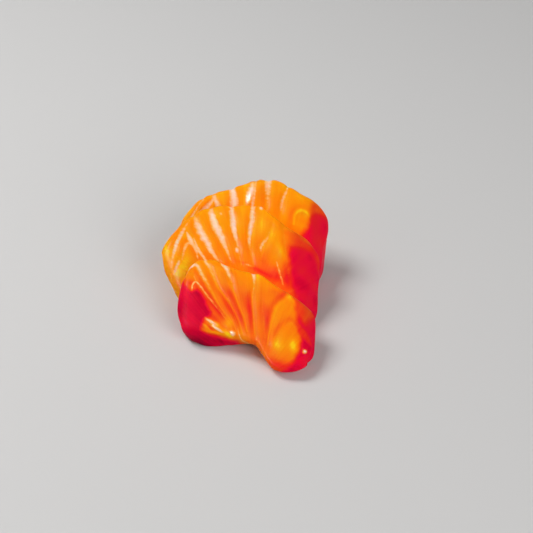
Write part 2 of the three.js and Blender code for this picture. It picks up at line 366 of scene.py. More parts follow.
@dataclass
class SalmonSlice:
    """One thick slice: a slab with five long corners, seen from its end heel, toe, ridge, crest and shoulder.

    The cut face slopes between ridge and crest. The back lies on the face of the slice behind it.

    Attributes:
        name: of its CAD node.
        face: its cut face.
        left: X of the five corners at the left end.
        right: the same at the right end.
        undercut: how far the toe is behind the ridge, against X.
        hue: against the share of the height from ridge to crest: painted light and shade, golden near the
            crest and redder low on the face.
        end_light_shade_hue: of the left and the right cut end: painted light and shade, golden on an end
            turned to the light and red to crimson on one turned away.
        end_blend: how far that hue reaches in from the left and the right end.
        fan: x and distance up the face of the point that the flesh's strands spread from.
        seed: of its unevenness.
        fat_lines: on the face.
        patches: on the face.
        painted_shades: areas of painted shade on the face.
        behind: the cut face that it lies on, or None if it stands by itself.
        heel: Y of the heel of such a slice, against X.
        lift: how high the foot arches off the surface, against X.
        under_shade_hue: painted shade of the flesh below the ridge, against X.
    """

    name: str
    face: CutFace
    left: tuple[float, ...]
    right: tuple[float, ...]
    undercut: Curve
    hue: Curve
    end_light_shade_hue: Pair
    end_blend: Pair
    fan: Pair
    seed: int
    fat_lines: tuple[FatLine, ...]
    patches: tuple[Patch, ...]
    painted_shades: tuple[PaintedShade, ...]
    behind: CutFace | None = None
    heel: Curve | None = None
    lift: Curve = Curve((0, 0), (1, 0))
    under_shade_hue: Curve = Curve((0, 0.75), (1, 0.75))

    def corners(self, t: Array) -> Array:
        """Returns the five corners at shares t of the slice's length, as (count, 5, 3)."""
        x = [mix(a, b, t) for a, b in zip(self.left, self.right, strict=True)]
        heel_x, toe_x, ridge_x, crest_x, shoulder_x = x
        heel_z, toe_z = (np.maximum(self.lift(foot_x), 0.0) for foot_x in x[:2])
        up = np.array((self.behind or self.face).upward)
        out = np.array([-up[1], up[0]])
        top = self.face.edge_point(self.face.crest, shoulder_x)
        if self.behind:
            base = np.stack([self.behind.depth(shoulder_x, 0.0), np.zeros_like(t)], -1) + AIR * out
            shoulder = base + ((top - base) @ up)[:, None] * up
            heel_y = self.behind.depth(heel_x, heel_z) + AIR * out[0]
        else:
            shoulder = top - THICKNESS * out
            heel_y = self.heel(heel_x)
        toe_y = self.face.edge_point(self.face.ridge, toe_x)[:, 0] + self.undercut(toe_x)
        toe_y = np.minimum(toe_y, heel_y - NARROWEST_FOOT)
        ridge = self.face.edge_point(self.face.ridge, ridge_x)
        crest = self.face.edge_point(self.face.crest, crest_x)
        sides = [np.stack([heel_y, heel_z], -1), np.stack([toe_y, toe_z], -1), ridge, crest, shoulder]
        return np.stack([np.column_stack(corner) for corner in zip(x, sides)], axis=1)

    @staticmethod
    def in_plane(section: Array, step: Array) -> Array:
        """Returns (Y, Z) steps with the X that keeps them in the plane that fits a section's corners best."""
        arm = section - section.mean(1, keepdims=True)
        square = np.einsum("nki,nkj->nij", arm[..., 1:], arm[..., 1:])
        slant = np.linalg.solve(square, np.einsum("nki,nk->ni", arm[..., 1:], arm[..., 0])[..., None])[..., 0]
        return np.dstack([np.einsum("nki,ni->nk", step, slant), step])

    def inset(self, section: Array, distance: Array) -> Array:
        """Moves each side of the five-sided sections inward in their planes.

        A corner moves by the distance times the sum of its sides' unit normals over 1 + their dot product.

        Args:
            section: (count, 5, 3) corners.
            distance: (count,) millimetres.

        Returns:
            The new corners.
        """
        side = np.roll(section, -1, 1)[..., 1:] - section[..., 1:]
        side /= np.linalg.norm(side, axis=-1, keepdims=True)
        inward = np.stack([side[..., 1], -side[..., 0]], -1)
        before = np.roll(inward, 1, 1)
        step = (inward + before) / (1 + (inward * before).sum(-1, keepdims=True)) * distance[:, None, None]
        return section + self.in_plane(section, step)

    @staticmethod
    def loops(section: Array, scale: Array) -> tuple[Array, Array]:
        """Rounds each section's corners by a quadratic curve from side to side.

        Args:
            section: (count, 5, 3) corners.
            scale: (count,) share of the full rounding.

        Returns:
            The points of the loops, and each point's share of the groove depth.
        """
        before, after = np.roll(section, 1, 1), np.roll(section, -1, 1)
        to_before = np.linalg.norm(before - section, axis=-1)
        to_after = np.linalg.norm(after - section, axis=-1)
        most = MOST_ROUNDING * np.minimum(to_before, to_after)
        reach = np.minimum(np.array(ROUNDING) * scale[:, None], most)
        enter = section + (before - section) * (reach / to_before)[..., None]
        leave = section + (after - section) * (reach / to_after)[..., None]
        points, shares = [], []
        for k, side_steps in enumerate(SIDE_STEPS):
            following = (k + 1) % 5
            t = np.linspace(0, 1, CORNER_STEPS)[:, None, None]
            points.append((1 - t) ** 2 * enter[:, k] + 2 * t * (1 - t) * section[:, k] + t**2 * leave[:, k])
            shares.append(np.full(CORNER_STEPS, GROOVE_SHARE[k]))
            t = np.arange(1, side_steps + 1) / (side_steps + 1)
            points.append(mix(leave[:, k], enter[:, following], t[:, None, None]))
            shares.append(mix(GROOVE_SHARE[k], GROOVE_SHARE[following], t**4 if k == FACE_SIDE else t))
        return np.concatenate(points).transpose(1, 0, 2), np.concatenate(shares)

    def surface(self) -> Surface:
        """Carries the rounded section along the slice, with quarter-round rims and swelling caps."""
        length = float(np.min(np.subtract(self.right, self.left)))
        turn = mix(RIM_START, math.pi / 2, np.arange(RIM_STEPS) / RIM_STEPS)
        rim_t = RIM_LENGTH * (math.cos(RIM_START) - np.cos(turn)) / length
        rim_inward = RIM * (1 - np.sin(turn))
        margin = RIM_LENGTH * math.cos(RIM_START) / length
        body_t = np.linspace(margin, 1 - margin, BODY_STEPS)
        t = np.r_[rim_t, body_t, 1 - rim_t[::-1]]
        inward = np.r_[rim_inward, np.zeros(BODY_STEPS), rim_inward[::-1]]
        inside = np.minimum(t, 1 - t) * length
        plain = self.corners(t)
        rounder = 1 + END_ROUNDER * smoothstep(TAPER_REACH, 0.0, inside)
        at, share = self.loops(self.inset(plain, inward), rounder)
        at = self.taper(at, plain, inside)
        share = share * (1 - inward / RIM)[:, None]
        return Surface(
            at=np.concatenate([self.cap(at[0], End.LEFT), at, self.cap(at[-1], End.RIGHT)[::-1]]),
            share=np.pad(share, ((CAP_STEPS, CAP_STEPS), (0, 0))),
            inside=np.pad(inside, CAP_STEPS)[:, None],
            nearer=np.pad(np.where(t < 0.5, -1, 1), CAP_STEPS, mode="edge")[:, None],
        )

    def taper(self, at: Array, section: Array, inside: Array) -> Array:
        """Narrows the slice towards its ends, by a quarter ellipse that starts a little way in.

        Args:
            at: (rows, around, 3) points.
            section: (rows, 5, 3) corners of the unrounded slice.
            inside: (rows,) millimetres from the nearer end.

        Returns:
            The moved points.
        """
        depth = TAPER_DEPTH * np.clip(1 - inside / TAPER_REACH, 0.0, 1.0)
        amount = (1 - np.sqrt(1 - depth**2))[:, None, None]
        up = np.array([0.0, *self.face.upward])
        through = np.array([0.0, up[2], -up[1]])
        arm = at - section.mean(1, keepdims=True)
        step = -sum((arm @ way)[..., None] * way[1:] * share for way, share in zip((through, up), TAPER))
        return at + self.in_plane(section, step * amount)

    @staticmethod
    def cap(rim: Array, end: End) -> Array:
        """Fills an end with loops that shrink to its middle, swelling out by a parabola.

        Args:
            rim: (around, 3) the outermost loop of the slice.
            end: which end it is.

        Returns:
            (cap steps, around, 3) loops from the middle outwards, the first of them a single point repeated.
        """
        middle = rim.mean(0)
        share = np.sin(np.arange(CAP_STEPS) / CAP_STEPS * math.pi / 2)[:, None, None]
        loops = middle + (rim - middle) * share
        loops[..., 0] += end.value * END_BULGE * (1 - share[..., 0] ** 2)
        return loops

    def on_face(self, at: Array) -> tuple[Flat, Array]:
        """Follows the grain of the flesh, which runs back and down through the slice, to its cut face.

        Args:
            at: points of the surface.

        Returns:
            The points of the face, and how far the surface is behind the face.
        """
        along, down = math.cos(GRAIN), math.sin(GRAIN)
        up = self.face.upward
        back = at[..., 1] - self.face.depth(at[..., 0], 0.0)
        height = (back * down + at[..., 2] * along) / (down * up[0] / up[1] + along)
        return self.face.flat(at[..., 0], height), back * up[1] - at[..., 2] * up[0]

    def skin(self, surface: Surface) -> Skin:
        """Works out the relief, the hue and the fat of each point.

        The fat lines run straight through the slice, so its back shows them too. The relief is a groove along
        each line, shaped like a bell across it, plus the patches' swellings and slow ripples.
        """
        at, behind = self.on_face(surface.at)
        x = at.real
        low, high = self.face.ridge(x), self.face.crest(x)
        share = (at.imag * self.face.upward[1] - low) / (high - low)
        ripples = Ripples(self.seed, WAVE)(surface.at)
        fine = Ripples(self.seed + FINE_SEED, FINE_WAVE)(surface.at)
        flesh_wave, end_wave, shade_wave = (ripples * wave for wave in HUE_WAVES)
        fan = complex(*self.fan)
        spread = abs(fan - self.face.flat(self.face.crest.x.mean(), STRAND_HEIGHT))
        fat, groove, wet, fat_and_highlight_spots = (np.zeros_like(x) for _ in range(4))
        # painted light and shade: golden towards the crest and redder lower down the face
        hue = self.hue(np.clip(share, 0.0, HUE_TOP)) + flesh_wave
        strand = np.arctan2(x - fan.real, at.imag - fan.imag) * spread
        skin = Skin(SWELL * ripples, hue, fat, groove, wet, strand)
        for line in self.fat_lines:
            self.draw_line(line, at, fine, skin)
        # patches add colour marks, swellings and glossy drops; some paint shade, some light and some
        # highlights
        for patch in self.patches:
            amount = patch.amount(self.face, at) * smoothstep(*PATCH_DEPTH, behind)
            skin.hue += patch.redder * amount
            skin.relief += patch.rise * amount
            fat_and_highlight_spots = np.maximum(fat_and_highlight_spots, patch.pale * amount)
            skin.wet = np.maximum(skin.wet, patch.wet * amount)
        # painted light and shade on the cut ends
        for end, end_light_shade_hue, reach in zip(End, self.end_light_shade_hue, self.end_blend, strict=True):
            fade = smoothstep(reach + END_FADE[0], END_FADE[1], surface.inside)
            here = (surface.nearer == end.value) * fade
            skin.hue = mix(skin.hue, end_light_shade_hue + end_wave, here)
            skin.fat = skin.fat * (1 - END_LEAN * here)
        # areas of painted shade, with wavy edges
        uneven = at + SHADE_EDGE_WAVES[0] * fine + 1j * SHADE_EDGE_WAVES[1] * ripples
        for painted_shade in self.painted_shades:
            amount = painted_shade.amount(self.face, uneven)
            skin.hue = mix(skin.hue, painted_shade.hue + shade_wave, amount)
            skin.fat *= 1 - amount
            skin.groove *= 1 - amount
        # painted shade on the underside below the ridge
        under = smoothstep(*UNDER_SHADE, share)
        skin.hue = mix(skin.hue, self.under_shade_hue(x), under)
        # fat spots and painted highlights from the patches
        skin.fat = np.maximum(skin.fat, fat_and_highlight_spots) * (1 - UNDER_LEAN * under)
        skin.relief -= GROOVE * surface.share * skin.groove
        skin.relief *= smoothstep(*LEVEL_FADE, surface.at[..., 2])
        return skin

    def draw_line(self, line: FatLine, at: Flat, fine: Array, skin: Skin) -> None:
        """Adds one line of fat to the hue, the fat and the grooves, by the distance to its curve.

        Args:
            line: what is drawn.
            at: each point of the surface, on the face.
            fine: small ripples that fray the line's edges.
            skin: changed in place.
        """
        last = len(line.points) - 1
        steps = np.linspace(0, last, LINE_STEPS * last + 1)
        path = self.face.flat(*(Curve(*enumerate(values))(steps) for values in zip(*line.points)))
        nearest, along, side = follow(path, at)
        half = np.interp(along, np.linspace(0, 1, len(line.width)), line.width) / 2
        pale = np.interp(along, np.linspace(0, 1, len(line.pale)), line.pale)
        frayed = nearest + FRAY * half * fine
        core = smoothstep(*LINE_EDGE, frayed / half)
        skin.fat = np.maximum(skin.fat, pale * core)
        # painted shade and light along the line's side: redder flesh beside it is painted shade, more golden
        # flesh is painted light
        beside = np.exp(-(((frayed - half - FLANK[0]) / FLANK[1]) ** 2))
        beside *= smoothstep(*FLANK_START, along) * (1 - FLANK_LOSS * smoothstep(*FLANK_END, along))
        skin.hue += line.redder * core + beside * np.where(side < 0, line.flank_shade[1], line.flank_shade[0])
        bell = line.groove * np.exp(-((nearest / (GROOVE_WIDTH[0] + GROOVE_WIDTH[1] * half)) ** 2))
        skin.groove = np.where(np.abs(bell) > np.abs(skin.groove), bell, skin.groove)

    def build(self, material: bpy.types.Material) -> None:
        """Makes the piece, dresses it in a material and puts it in place of its CAD node."""
        surface = self.surface()
        skin = self.skin(surface)
        at = surface.at + surface.outward() * skin.relief[..., None]
        at[..., 2] = np.maximum(at[..., 2], 0.0)
        at[..., :2] -= DESIGN_MIDDLE
        rows, around = at.shape[:2]
        kept = slice(around - 1, 1 - around)  # the first and the last loop are one point each, kept once
        number = np.arange(rows * around).reshape(rows, around) - (around - 1)
        after = np.roll(number, -1, 1)
        quads = np.stack([number[1:-2], number[2:-1], after[2:-1], after[1:-2]], -1).reshape(-1, 4)
        left_fan = np.stack([np.zeros_like(number[1]), number[1], after[1]], -1)
        right_fan = np.stack([number[-2], np.full_like(number[1], number[-1, 0]), after[-2]], -1)
        mesh = bpy.data.meshes.new(self.name + "_flesh")
        points = at.reshape(-1, 3)[kept] * METRES
        mesh.from_pydata(points.tolist(), [], quads.tolist() + left_fan.tolist() + right_fan.tolist())
        mesh.polygons.foreach_set("use_smooth", np.ones(len(mesh.polygons), bool))
        for label in ("hue", "fat", "strand", "wet"):
            layer = mesh.attributes.new(label, "FLOAT", "POINT")
            layer.data.foreach_set("value", getattr(skin, label).ravel()[kept].astype(np.float32))
        mesh.update()
        mesh.materials.append(material)
        piece = add_object(self.name + "_flesh", mesh)
        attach(piece, "root")
        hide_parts(self.name)
        low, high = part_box(self.name)
        log.info("%s: %d faces, CAD box %s to %s m", piece.name, len(mesh.polygons), low[:], high[:])


class Link:
    """A number that varies over a surface: a node's output, with arithmetic that adds Math nodes."""

    def __init__(self, graph: "Graph", socket: bpy.types.NodeSocket | None) -> None:
        """Wraps an output socket of a graph's node."""
        self.graph = graph
        self.socket = socket

    def math(self, operation: str, *values: "Link | float") -> "Link":
        """Returns the result of a Math node on these values."""
        return self.graph.add("ShaderNodeMath", {"operation": operation}, dict(enumerate(values)))

    def __add__(self, other: "Link | float") -> "Link":
        """Returns self + other."""
        return self.math("ADD", self, other)

    __radd__ = __add__

    def __mul__(self, other: "Link | float") -> "Link":
        """Returns self * other."""
        return self.math("MULTIPLY", self, other)

    __rmul__ = __mul__

    def __sub__(self, other: "Link | float") -> "Link":
        """Returns self - other."""
        return self.math("SUBTRACT", self, other)

    def __rsub__(self, other: "Link | float") -> "Link":
        """Returns other - self."""
        return self.math("SUBTRACT", other, self)

    def clamped(self) -> "Link":
        """Returns self held between 0 and 1."""
        return self.math("MINIMUM", self.math("MAXIMUM", self, 0.0), 1.0)


def linear(red: int, green: int, blue: int) -> tuple[float, float, float, float]:
    """Returns a screen colour, 0 to 255 a channel, as linear light and full cover."""
    channels = (c / 255 for c in (red, green, blue))
    return *(c / 12.92 if c <= 0.04045 else ((c + 0.055) / 1.055) ** 2.4 for c in channels), 1.0


class Graph:
    """The node tree of one material."""

    def __init__(self, name: str) -> None:
        """Makes an empty material of this name."""
        self.material = bpy.data.materials.new(name)
        self.material.use_nodes = True
        self.tree = self.material.node_tree
        self.tree.nodes.clear()

    def add(self, kind: str, settings: Values = NONE, inputs: Values = NONE, output: str | int = 0) -> Link:
        """Adds a node.

        Args:
            kind: the node's type.
            settings: its properties, set first.
            inputs: a value or a Link for each named or numbered socket.
            output: the output that is returned.

        Returns:
            That output.
        """
        node = self.tree.nodes.new(kind)
        for key, value in settings.items():
            setattr(node, key, value)
        for key, value in inputs.items():
            if isinstance(value, Link):
                self.tree.links.new(value.socket, node.inputs[key])
            else:
                node.inputs[key].default_value = value
        return Link(self, node.outputs[output] if node.outputs else None)

    def attribute(self, name: str) -> Link:
        """Returns a number that the mesh holds for each point."""
        return self.add("ShaderNodeAttribute", {"attribute_name": name}, output="Fac")

    def ramp(self, share: Link, stops: Stops) -> Link:
        """Returns the colour that these (share, screen colour) stops give to a share."""
        colour = self.add("ShaderNodeValToRGB", {}, {"Fac": share.clamped()})
        elements = colour.socket.node.color_ramp.elements
        while len(elements) < len(stops):
            elements.new(1.0)
        for element, (position, screen_colour) in zip(elements, stops):
            element.position = position
            element.color = linear(*screen_colour)
        return colour

    def noise(self, place: Link, scale: float, detail: float, dimensions: str = "3D") -> Link:
        """Returns noise from -0.5 to 0.5 at a place, with this many lumps to a unit of it."""
        inputs = {"Vector": place, "Scale": scale, "Detail": detail}
        return self.add("ShaderNodeTexNoise", {"noise_dimensions": dimensions}, inputs) - 0.5

    def streaks(self, across: Link, along: Link, scale: Pair) -> Link:
        """Returns noise from -0.5 to 0.5 with this many lumps to a unit across and along."""
        place = self.add("ShaderNodeCombineXYZ", {}, {0: across * scale[0], 1: along * scale[1]})
        return self.noise(place, 1.0, 3.0, "2D")

    def surface(self, settings: Values, inputs: Values) -> bpy.types.Material:
        """Ends the graph with one shader and returns the material."""
        shader = self.add("ShaderNodeBsdfPrincipled", settings, inputs)
        self.add("ShaderNodeOutputMaterial", {}, {"Surface": shader})
        return self.material


@dataclass(frozen=True)
class SalmonFlesh:
    """Wet raw salmon: gold to orange by hue and crimson for painted shade, with peach-white fat and a
    fibrous, glossy surface.

    Attributes:
        hues: (hue, screen colour) stops, the crimson ones for painted shade.
        fats: (share of fat, screen colour) stops, the palest also for painted highlights.
        streaks: lumps in a millimetre across the strands and in a metre of height.
        bands: the same, for broader streaks.
        fray: the same, for the fraying of the fat's edges.
        fibres: lumps in a metre of the fine relief, which is stretched along the slice.
        mottling: lumps in a metre of the coarse relief.
        shading: how much streaks, bands, fibres and mottling change the hue.
        calm_hue: at which all of these but mottling would stop doing so.
        fraying: how much streaks and fraying change the fat.
        relief: millimetres of fibres, of mottling and of streaks.
        least_fat: that can be seen.
        fat_edge: how fast it hides the flesh above that.
        roughness: of the surface.
        uneven: how much mottling changes that.
        wet: usual weight of the clear film.
        dry_hue: above which there is no such film.
        film_edge: how fast it grows below that.
        glow: share of the light that passes under the surface.
        glow_reach: millimetres that red, green and blue light travel there.
    """

    hues: Stops = (
        (0.0, (255, 200, 24)), (0.1, (254, 166, 16)), (0.25, (253, 146, 10)),
        (0.45, (251, 120, 16)), (0.62, (244, 84, 22)), (0.76, (238, 40, 30)),
        (0.88, (236, 14, 56)), (0.95, (206, 0, 50)), (1.0, (126, 0, 36)),
    )
    fats: Stops = (
        (0.2, (254, 160, 30)), (0.5, (253, 184, 112)), (0.75, (253, 199, 157)), (1.0, (253, 222, 206)),
    )
    streaks: Pair = (1.1, 60.0)
    bands: Pair = (0.35, 40.0)
    fray: Pair = (0.6, 1500.0)
    fibres: float = 420.0
    mottling: float = 260.0
    shading: tuple[float, float, float, float] = (0.16, 0.2, 0.05, 0.05)
    calm_hue: float = 1.15
    fraying: Pair = (0.35, 0.6)
    relief: Triple = (0.05, 0.075, 0.125)
    least_fat: float = 0.08
    fat_edge: float = 2.4
    roughness: float = 0.4
    uneven: float = 0.15
    wet: float = 0.05
    dry_hue: float = 0.88
    film_edge: float = 8.0
    glow: float = 0.45
    glow_reach: Triple = (2.2, 0.6, 0.25)

    def material(self) -> bpy.types.Material:
        """Builds the material."""
        g = Graph("wet_salmon_flesh")
        hue, fat, strand, wet = (g.attribute(name) for name in ("hue", "fat", "strand", "wet"))
        place = g.add("ShaderNodeTexCoord", output="Object")
        height = g.add("ShaderNodeSeparateXYZ", {}, {0: place}, output="Z")
        stretch = {"Vector": place, "Rotation": (0.7, 0.1, 0.2), "Scale": (1, 4, 4)}
        fibres = g.noise(g.add("ShaderNodeMapping", {}, stretch), self.fibres, 3.0)
        mottle = g.noise(place, self.mottling, 2.0)
        scales = (self.streaks, self.bands, self.fray)
        streak, band, fray = (g.streaks(strand, height, scale) for scale in scales)
        by_streak, by_band, by_fibre, by_mottle = self.shading
        clean = self.calm_hue - hue.clamped()
        shade = hue + (streak * by_streak + band * by_band + fibres * by_fibre) * clean + mottle * by_mottle
        edge = (fat * (1.0 - fat) * 4.0).clamped()
        frayed = fat + (streak * self.fraying[0] + fray * self.fraying[1]) * edge
        whiter = ((frayed - self.least_fat) * self.fat_edge).clamped()
        colours = {"Factor": whiter, 6: g.ramp(shade, self.hues), 7: g.ramp(frayed, self.fats)}
        rise = sum(form * share for form, share in zip((fibres, mottle, streak), self.relief))
        bump = {"Strength": 1.0, "Distance": METRES, "Height": rise}
        film = ((self.dry_hue - hue) * self.film_edge).clamped() * self.wet
        return g.surface(
            {"subsurface_method": "RANDOM_WALK"},
            {
                "Base Color": g.add("ShaderNodeMix", {"data_type": "RGBA"}, colours, output=2),
                "Roughness": self.roughness + mottle * self.uneven,
                "Normal": g.add("ShaderNodeBump", {}, bump),
                "IOR": 1.38,
                "Specular IOR Level": 0.02,
                "Coat Weight": (wet + film).clamped(),
                "Coat Roughness": 0.17,
                "Coat IOR": 1.33,
                "Subsurface Weight": self.glow,
                "Subsurface Radius": self.glow_reach,
                "Subsurface Scale": METRES,
            },
        )


@dataclass(frozen=True)
class Camera:
    """The camera, at the photograph's viewing angle.

    Attributes:
        target: a point on its axis, in metres.
        elevation: degrees that it looks down.
        distance: metres to the target.
        width: metres across the picture at the target.
    """

    target: Triple = (0.008429, -0.002082, 0.022556)
    elevation: float = 40.0
    distance: float = 0.5
    width: float = 0.20787

    def build(self) -> None:
        """Makes the camera and sets it as the scene's."""
        data = bpy.data.cameras.new("camera")
        data.sensor_fit = "HORIZONTAL"
        data.angle = 2 * math.atan(self.width / 2 / self.distance)
        data.clip_start = 0.01
        angle = math.radians(self.elevation)
        look = Vector((0.0, math.cos(angle), -math.sin(angle)))
        at = Vector(self.target) - look * self.distance
        bpy.context.scene.camera = add_object("camera", data, at, look)


@dataclass(frozen=True)
class Lamp:
    """A square light that shines at the slices.

    Attributes:
        name: of the light.
        towards: the direction it stands in.
        distance: metres away.
        size: metres across.
        watts: its power.
        mirrored: whether it shows only as reflections in wet surfaces, or never as one.
    """

    name: str
    towards: Triple
    distance: float
    size: float
    watts: float
    mirrored: bool = False

    def build(self) -> None:
        """Makes the light."""
        data = bpy.data.lights.new(self.name, "AREA")
        data.size = self.size
        data.energy = self.watts
        direction = Vector(self.towards).normalized()
        lamp = add_object(self.name, data, SLICES_MIDDLE + direction * self.distance, -direction)
        lamp.visible_glossy = self.mirrored
        lamp.visible_diffuse = not self.mirrored


@dataclass(frozen=True)
class Studio:
    """A plain pale floor under soft light."""

    floor_size: float = 4.0
    floor_colour: tuple[int, int, int] = (205, 204, 203)
    floor_roughness: float = 0.6
    sky: float = 0.18
    lamps: tuple[Lamp, ...] = (
        Lamp("key", (-0.5, 0.2, 0.8), 0.8, 0.35, 4.6),
        Lamp("fill", (0.6, -0.75, 0.6), 1.2, 0.8, 8.6),
        Lamp("window", (-0.80, -0.372, 0.459), 0.9, 0.32, 21.0, mirrored=True),
    )

    def build(self) -> None:
        """Makes the floor, the sky and the lights, and sets how the picture is shown."""
        scene = bpy.context.scene
        scene.view_settings.view_transform = "Standard"
        world = bpy.data.worlds.new("sky")
        world.use_nodes = True
        background = world.node_tree.nodes["Background"]
        background.inputs["Color"].default_value = (1.0, 1.0, 1.0, 1.0)
        background.inputs["Strength"].default_value = self.sky
        scene.world = world
        bpy.ops.mesh.primitive_plane_add(size=self.floor_size)
        floor = bpy.context.object
        floor.name = "floor"
        looks = {"Base Color": linear(*self.floor_colour), "Roughness": self.floor_roughness}
        floor.data.materials.append(Graph("pale_floor").surface(NONE, looks))
        for lamp in self.lamps:
            lamp.build()


FRONT_FACE = CutFace(
    lean=36,
    trace=Curve((-27, 7), (-12, 3.2), (0, -1), (13.5, -6.4), (25, -10.5)),
    ridge=Curve(
        (-27, 8.6), (0, 8.6), (3.1, 8.3), (5.2, 6.5), (7.8, 4.6), (11, 4.1), (15.6, 4.6), (20, 5.5), (25, 5.4)
    ),
    crest=Curve(
        (-27, 20.5), (-23, 24.3), (-18, 26), (-12, 26), (-6, 25),
        (4, 25.3), (7.8, 24.2), (11.7, 23.2), (16, 22.4), (20, 21.8), (25.5, 20.6),
    ),
)
MIDDLE_FACE = CutFace(
    lean=40,
    trace=Curve((-36, 26), (-12, 20.7), (0, 16.9), (13.5, 11.7), (26, 7)),
    ridge=Curve((-36, 8.6), (26, 8)),
    crest=Curve(
        (-36.6, 20.6), (-32, 24.6), (-26, 29), (-18, 32.8), (-8, 34.4),
        (4.2, 36), (9.5, 34), (15.5, 31.3), (20, 31), (24.5, 31), (28.5, 29.6),
    ),
)
BACK_FACE = CutFace(
    lean=45,
    trace=Curve((-29, 38.5), (0, 33.5), (13.5, 31), (32, 27.5)),
    ridge=Curve((-29, 8), (32, 8)),
    crest=Curve(
        (-29, 24), (-24, 28.4), (-18, 31.6), (-9, 34.2), (0, 36.9),
        (6, 38.2), (11, 38.3), (18, 36), (25, 34.1), (32, 31.6),
    ),
)

BACK_LINES = (
    FatLine(((-19.4, 30.4), (-21.8, 27.8), (-23.6, 25.5), (-25.4, 23.2), (-27, 19)), (0.9, 1.5), (0.45, 0.7)),
    FatLine(((-14.6, 31.8), (-15.6, 30.2), (-17.7, 28.3), (-20, 26), (-22, 18)),
        (1.6, 2.2, 1.6), (0.6, 0.8, 0.7)),
    FatLine(((-15.1, 31.6), (-13.9, 29.8), (-12.8, 27.5), (-11.7, 20)), (1.8, 3.4, 3), (0.6, 1, 0.9)),
    FatLine(((-7.5, 34.6), (-6.9, 31.8), (-6.4, 28.6), (-5.8, 20)), (2.8, 3.8, 2.8), (0.9, 0.88, 0.7)),
    FatLine(((2.2, 37.2), (1.6, 33.5), (0.8, 29.5), (0.2, 20)), (1.4, 1.6, 1.8), (0.4, 0.7, 0.6)),
    FatLine(((7.3, 38.6), (7, 36.6), (6.9, 34), (6.6, 31), (6, 20)),
        (3.4, 2, 1.1, 0.9), (0.85, 0.35, 0.12, 0.05)),
    FatLine(((15.2, 36.6), (14.2, 34.9), (12.8, 32.2), (12.1, 29.5), (11.8, 24)),
        (1, 1.6, 0.9, 0.8), (0.4, 0.6, 0.15, 0)),
    FatLine(((17.4, 26), (17.8, 28.6), (19.9, 30.2), (22.4, 29.9), (23.9, 28.4), (23.8, 27)),
        (1, 1.5, 1.3), (0, 0.12, 0), redder=-0.2, flank_shade=(0, 0.14), groove=-0.6),
)
BACK_PATCHES = (
    Patch(19.4, 25.8, 1.8, 1.6, -0.08, rise=0.3),
    Patch(17, 22.5, 3, 1.6, 0.22),
    Patch(21.4, 27.2, 1.3, 1.6, 0.12),
    Patch(-24.5, 24, 4, 4, -0.12),
    Patch(1.5, 33.7, 2, 5.2, turn=-19, rise=1.1, wet=1),
    # painted highlight: a white glint streak over the glossy ridge of the patch above
    Patch(0.1, 33.7, 1.2, 4, turn=-19, pale=1),
    # painted shade: redder at the crest where the face turns to the shaded right end
    Patch(28.6, 30.6, 3.4, 1.8, 0.34, -34),
    Patch(-7.4, 30.6, 1.4, 1.2, rise=0.15, wet=0.4),
)
# painted shade: the right end, turned away from the light
BACK_PAINTED_SHADES = (
    PaintedShade(0.86, 1.6, (
        (32, 29), (28.6, 29.8), (26, 30), (24.4, 28.8), (23.3, 26.4), (21.9, 24.6), (20.4, 23.2),
        (19.6, 21.1), (19.4, -15), (45, -15), (45, 26),
    )),
)
BACK_SLICE = SalmonSlice(
    name="slice_back",
    face=BACK_FACE,
    left=(-27, -27, -28, -28.8, -28),
    right=(31, 26, 26, 25, 32.6),
    undercut=Curve((-36, 4), (26, 4)),
    heel=Curve((-29, 50), (0, 50), (12, 48), (33, 42)),
    hue=Curve((0, 0.55), (0.6, 0.3), (0.85, 0.21), (1.1, 0.18)),
    end_light_shade_hue=(0.35, 0.62),
    end_blend=(1, 1.6),
    fan=(-3, -60),
    seed=3,
    fat_lines=BACK_LINES,
    patches=BACK_PATCHES,
    painted_shades=BACK_PAINTED_SHADES,
)

